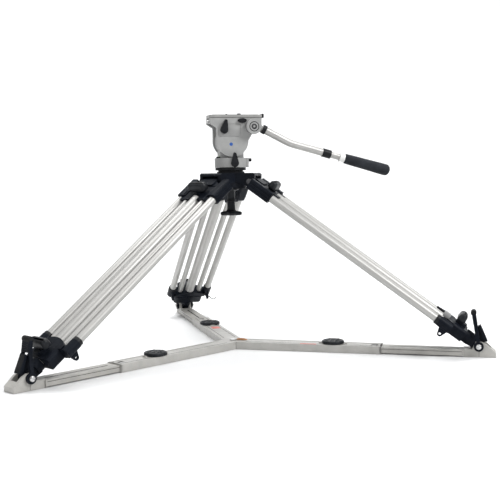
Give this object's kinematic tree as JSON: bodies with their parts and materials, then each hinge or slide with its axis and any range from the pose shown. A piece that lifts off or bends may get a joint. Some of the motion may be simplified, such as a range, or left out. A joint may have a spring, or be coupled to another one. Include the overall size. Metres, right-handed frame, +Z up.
{
  "type": "video tripod with fluid head",
  "caption": "Two-stage tripod with tubular legs, a low ground spreader with telescopic arms, and a fluid head with sliding camera plate and cranked pan bar.",
  "frame": {"origin": "on the floor under the tripod's axis, at the middle of the spreader hub's underside", "axes": "+Z up; leg a points 15 degrees from +X towards -Y; the pan bar points 11 degrees from +X towards +Y"},
  "size_m": [1.1921, 1.1921, 0.6395],
  "materials": {
    "dark_casting": "satin textured blue-black paint",
    "silver_tube": "satin anodised",
    "bar_silver": "satin painted",
    "head_grey": "fine textured grey paint",
    "spreader_grey": "satin light grey paint",
    "black_plastic": "moulded",
    "grip_rubber": "closed-cell foam",
    "steel": "bright turned"
  },
  "bodies": {
    "crown": {"crown": "dark_casting", "hinge_pins": "steel"},
    "leg_a_upper": {"leg_a_top_casting": "dark_casting", "leg_a_outer_tubes": "silver_tube", "leg_a_guide_casting": "dark_casting"},
    "leg_a_middle": {"leg_a_middle_castings": "dark_casting", "leg_a_middle_tubes": "silver_tube"},
    "leg_a_lower": {"leg_a_centre_tube": "silver_tube", "leg_a_foot": "dark_casting"},
    "leg_a_upper_knob": {"leg_a_upper_knob": "black_plastic"},
    "leg_a_lower_knob": {"leg_a_lower_knob": "black_plastic"},
    "leg_a_bail": {"leg_a_bail": "dark_casting"},
    "spreader_a_inner": {"spreader_a_inner_arm": "spreader_grey"},
    "spreader_a_outer": {"spreader_a_outer_arm": "spreader_grey", "spreader_hub": "steel"},
    "spreader_a_knob": {"spreader_a_knob": "black_plastic"},
    "leg_b_upper": {"leg_b_top_casting": "dark_casting", "leg_b_outer_tubes": "silver_tube", "leg_b_guide_casting": "dark_casting"},
    "leg_b_middle": {"leg_b_middle_castings": "dark_casting", "leg_b_middle_tubes": "silver_tube"},
    "leg_b_lower": {"leg_b_centre_tube": "silver_tube", "leg_b_foot": "dark_casting"},
    "leg_b_upper_knob": {"leg_b_upper_knob": "black_plastic"},
    "leg_b_lower_knob": {"leg_b_lower_knob": "black_plastic"},
    "leg_b_bail": {"leg_b_bail": "dark_casting"},
    "spreader_b_inner": {"spreader_b_inner_arm": "spreader_grey"},
    "spreader_b_outer": {"spreader_b_outer_arm": "spreader_grey"},
    "spreader_b_knob": {"spreader_b_knob": "black_plastic"},
    "leg_c_upper": {"leg_c_top_casting": "dark_casting", "leg_c_outer_tubes": "silver_tube", "leg_c_guide_casting": "dark_casting"},
    "leg_c_middle": {"leg_c_middle_castings": "dark_casting", "leg_c_middle_tubes": "silver_tube"},
    "leg_c_lower": {"leg_c_centre_tube": "silver_tube", "leg_c_foot": "dark_casting"},
    "leg_c_upper_knob": {"leg_c_upper_knob": "black_plastic"},
    "leg_c_lower_knob": {"leg_c_lower_knob": "black_plastic"},
    "leg_c_bail": {"leg_c_bail": "dark_casting"},
    "spreader_c_inner": {"spreader_c_inner_arm": "spreader_grey"},
    "spreader_c_outer": {"spreader_c_outer_arm": "spreader_grey"},
    "spreader_c_knob": {"spreader_c_knob": "black_plastic"},
    "level": {"ball_base": "dark_casting"},
    "bowl_clamp": {"bowl_clamp_knob": "dark_casting"},
    "pan_head": {"pan_base": "head_grey", "tilt_drum": "head_grey", "tilt_drag_discs": "steel"},
    "pan_lever": {"pan_brake_lever": "black_plastic"},
    "drag_knob": {"pan_drag_knob": "black_plastic"},
    "tilt_head": {"tilt_platform": "head_grey", "tilt_axle": "steel"},
    "tilt_lever": {"tilt_brake_lever": "black_plastic"},
    "lock_knob": {"plate_lock": "black_plastic"},
    "plate": {"camera_plate": "head_grey"},
    "screws": {"camera_screws": "black_plastic"},
    "pan_bar": {"pan_bar_rosette": "head_grey", "pan_bar_tube": "bar_silver", "pan_bar_collars": "black_plastic"},
    "pan_grip": {"pan_bar_extension": "bar_silver", "pan_bar_grip": "grip_rubber"}
  },
  "joints": [
    {"name": "leg_a_spread", "type": "hinge", "parent": "crown", "child": "leg_a_upper", "pos_m": [0.05989, -0.01605, 0.456], "axis": [0.2588, 0.9659, 0], "range_deg": [0, 22]},
    {"name": "leg_a_upper_stage", "type": "slide", "parent": "leg_a_upper", "child": "leg_a_middle", "axis": [0.7846, -0.2102, -0.5833], "range_m": [0, 0.43]},
    {"name": "leg_a_lower_stage", "type": "slide", "parent": "leg_a_middle", "child": "leg_a_lower", "axis": [0.7846, -0.2102, -0.5833], "range_m": [0, 0.43]},
    {"name": "leg_a_upper_clamp", "type": "hinge", "parent": "leg_a_middle", "child": "leg_a_upper_knob", "pos_m": [0.10382, -0.02782, 0.42334], "axis": [0.5634, -0.151, 0.8123], "range_deg": [0, 90]},
    {"name": "leg_a_lower_clamp", "type": "hinge", "parent": "leg_a_middle", "child": "leg_a_lower_knob", "pos_m": [0.57661, -0.1545, 0.07184], "axis": [0.5634, -0.151, 0.8123], "range_deg": [0, 25]},
    {"name": "leg_a_bail_lock", "type": "hinge", "parent": "leg_a_lower", "child": "leg_a_bail", "pos_m": [0.63558, -0.1703, 0.028], "axis": [0.2588, 0.9659, 0], "range_deg": [0, 60]},
    {"name": "spreader_a_foot_pivot", "type": "hinge", "parent": "leg_a_lower", "child": "spreader_a_inner", "pos_m": [0.63558, -0.1703, 0.028], "axis": [0.2588, 0.9659, 0], "range_deg": [-22, 0]},
    {"name": "spreader_a_length", "type": "slide", "parent": "spreader_a_inner", "child": "spreader_a_outer", "axis": [0.9659, -0.2588, 0], "range_m": [0, 0.2045]},
    {"name": "spreader_a_lock", "type": "hinge", "parent": "spreader_a_outer", "child": "spreader_a_knob", "pos_m": [0.26853, -0.07195, 0.025], "axis": [0, 0, 1], "range_deg": [0, 270]},
    {"name": "leg_b_spread", "type": "hinge", "parent": "crown", "child": "leg_b_upper", "pos_m": [-0.01605, 0.05989, 0.456], "axis": [-0.9659, -0.2588, 0], "range_deg": [0, 22]},
    {"name": "leg_b_upper_stage", "type": "slide", "parent": "leg_b_upper", "child": "leg_b_middle", "axis": [-0.2102, 0.7846, -0.5833], "range_m": [0, 0.43]},
    {"name": "leg_b_lower_stage", "type": "slide", "parent": "leg_b_middle", "child": "leg_b_lower", "axis": [-0.2102, 0.7846, -0.5833], "range_m": [0, 0.43]},
    {"name": "leg_b_upper_clamp", "type": "hinge", "parent": "leg_b_middle", "child": "leg_b_upper_knob", "pos_m": [-0.02782, 0.10382, 0.42334], "axis": [-0.151, 0.5634, 0.8123], "range_deg": [0, 90]},
    {"name": "leg_b_lower_clamp", "type": "hinge", "parent": "leg_b_middle", "child": "leg_b_lower_knob", "pos_m": [-0.1545, 0.57661, 0.07184], "axis": [-0.151, 0.5634, 0.8123], "range_deg": [0, 25]},
    {"name": "leg_b_bail_lock", "type": "hinge", "parent": "leg_b_lower", "child": "leg_b_bail", "pos_m": [-0.1703, 0.63558, 0.028], "axis": [-0.9659, -0.2588, 0], "range_deg": [0, 60]},
    {"name": "spreader_b_foot_pivot", "type": "hinge", "parent": "leg_b_lower", "child": "spreader_b_inner", "pos_m": [-0.1703, 0.63558, 0.028], "axis": [-0.9659, -0.2588, 0], "range_deg": [-22, 0]},
    {"name": "spreader_b_length", "type": "slide", "parent": "spreader_b_inner", "child": "spreader_b_outer", "axis": [-0.2588, 0.9659, 0], "range_m": [0, 0.2045]},
    {"name": "spreader_b_lock", "type": "hinge", "parent": "spreader_b_outer", "child": "spreader_b_knob", "pos_m": [-0.07195, 0.26853, 0.025], "axis": [0, 0, 1], "range_deg": [0, 270]},
    {"name": "leg_c_spread", "type": "hinge", "parent": "crown", "child": "leg_c_upper", "pos_m": [-0.04384, -0.04384, 0.456], "axis": [0.7071, -0.7071, 0], "range_deg": [0, 22]},
    {"name": "leg_c_upper_stage", "type": "slide", "parent": "leg_c_upper", "child": "leg_c_middle", "axis": [-0.5744, -0.5744, -0.5833], "range_m": [0, 0.43]},
    {"name": "leg_c_lower_stage", "type": "slide", "parent": "leg_c_middle", "child": "leg_c_lower", "axis": [-0.5744, -0.5744, -0.5833], "range_m": [0, 0.43]},
    {"name": "leg_c_upper_clamp", "type": "hinge", "parent": "leg_c_middle", "child": "leg_c_upper_knob", "pos_m": [-0.076, -0.076, 0.42334], "axis": [-0.4125, -0.4125, 0.8123], "range_deg": [0, 90]},
    {"name": "leg_c_lower_clamp", "type": "hinge", "parent": "leg_c_middle", "child": "leg_c_lower_knob", "pos_m": [-0.42211, -0.42211, 0.07184], "axis": [-0.4125, -0.4125, 0.8123], "range_deg": [0, 25]},
    {"name": "leg_c_bail_lock", "type": "hinge", "parent": "leg_c_lower", "child": "leg_c_bail", "pos_m": [-0.46528, -0.46528, 0.028], "axis": [0.7071, -0.7071, 0], "range_deg": [0, 60]},
    {"name": "spreader_c_foot_pivot", "type": "hinge", "parent": "leg_c_lower", "child": "spreader_c_inner", "pos_m": [-0.46528, -0.46528, 0.028], "axis": [0.7071, -0.7071, 0], "range_deg": [-22, 0]},
    {"name": "spreader_c_length", "type": "slide", "parent": "spreader_c_inner", "child": "spreader_c_outer", "axis": [-0.7071, -0.7071, 0], "range_m": [0, 0.2045]},
    {"name": "spreader_c_lock", "type": "hinge", "parent": "spreader_c_outer", "child": "spreader_c_knob", "pos_m": [-0.19658, -0.19658, 0.025], "axis": [0, 0, 1], "range_deg": [0, 270]},
    {"name": "bowl_level", "type": "hinge", "parent": "crown", "child": "level", "pos_m": [0, 0, 0.483], "axis": [0.9816, 0.1908, 0], "range_deg": [-8, 8]},
    {"name": "bowl_clamp_turn", "type": "hinge", "parent": "level", "child": "bowl_clamp", "pos_m": [0, 0, 0.4], "axis": [0, 0, 1], "range_deg": [0, 270]},
    {"name": "pan", "type": "hinge", "parent": "level", "child": "pan_head", "pos_m": [0, 0, 0.5], "axis": [0, 0, 1], "continuous": true},
    {"name": "pan_brake", "type": "hinge", "parent": "pan_head", "child": "pan_lever", "pos_m": [0.01193, -0.04251, 0.505], "axis": [0.1908, -0.9816, 0], "range_deg": [-40, 40]},
    {"name": "pan_drag", "type": "hinge", "parent": "pan_head", "child": "drag_knob", "pos_m": [0.04908, 0.00954, 0.514], "axis": [0.9816, 0.1908, 0], "range_deg": [-150, 150]},
    {"name": "tilt", "type": "hinge", "parent": "pan_head", "child": "tilt_head", "pos_m": [0, 0, 0.565], "axis": [0.1908, -0.9816, 0], "range_deg": [-12, 75]},
    {"name": "tilt_brake", "type": "hinge", "parent": "tilt_head", "child": "tilt_lever", "pos_m": [-0.01523, -0.03902, 0.594], "axis": [0.1908, -0.9816, 0], "range_deg": [-60, 0]},
    {"name": "plate_lock_turn", "type": "hinge", "parent": "tilt_head", "child": "lock_knob", "pos_m": [0.03277, -0.02969, 0.6186], "axis": [0.1908, -0.9816, 0], "range_deg": [0, 90]},
    {"name": "plate_slide", "type": "slide", "parent": "tilt_head", "child": "plate", "axis": [0.9816, 0.1908, 0], "range_m": [-0.03, 0.03]},
    {"name": "camera_screw_slide", "type": "slide", "parent": "plate", "child": "screws", "axis": [0.9816, 0.1908, 0], "range_m": [-0.015, 0.015]},
    {"name": "pan_bar_angle", "type": "hinge", "parent": "tilt_head", "child": "pan_bar", "pos_m": [0.06364, -0.03653, 0.602], "axis": [0.1908, -0.9816, 0], "range_deg": [0, 60]},
    {"name": "pan_bar_length", "type": "slide", "parent": "pan_bar", "child": "pan_grip", "axis": [0.9468, 0.184, -0.264], "range_m": [0, 0.07]}
  ],
  "couplings": [
    {"joint": "spreader_a_foot_pivot", "follows": "leg_a_spread", "ratio": -1},
    {"joint": "spreader_a_length", "follows": "leg_a_spread", "m_per_rad": 0.53059},
    {"joint": "leg_b_spread", "follows": "leg_a_spread", "ratio": 1},
    {"joint": "spreader_b_foot_pivot", "follows": "leg_a_spread", "ratio": -1},
    {"joint": "spreader_b_length", "follows": "leg_a_spread", "m_per_rad": 0.53059},
    {"joint": "leg_c_spread", "follows": "leg_a_spread", "ratio": 1},
    {"joint": "spreader_c_foot_pivot", "follows": "leg_a_spread", "ratio": -1},
    {"joint": "spreader_c_length", "follows": "leg_a_spread", "m_per_rad": 0.53059}
  ]
}
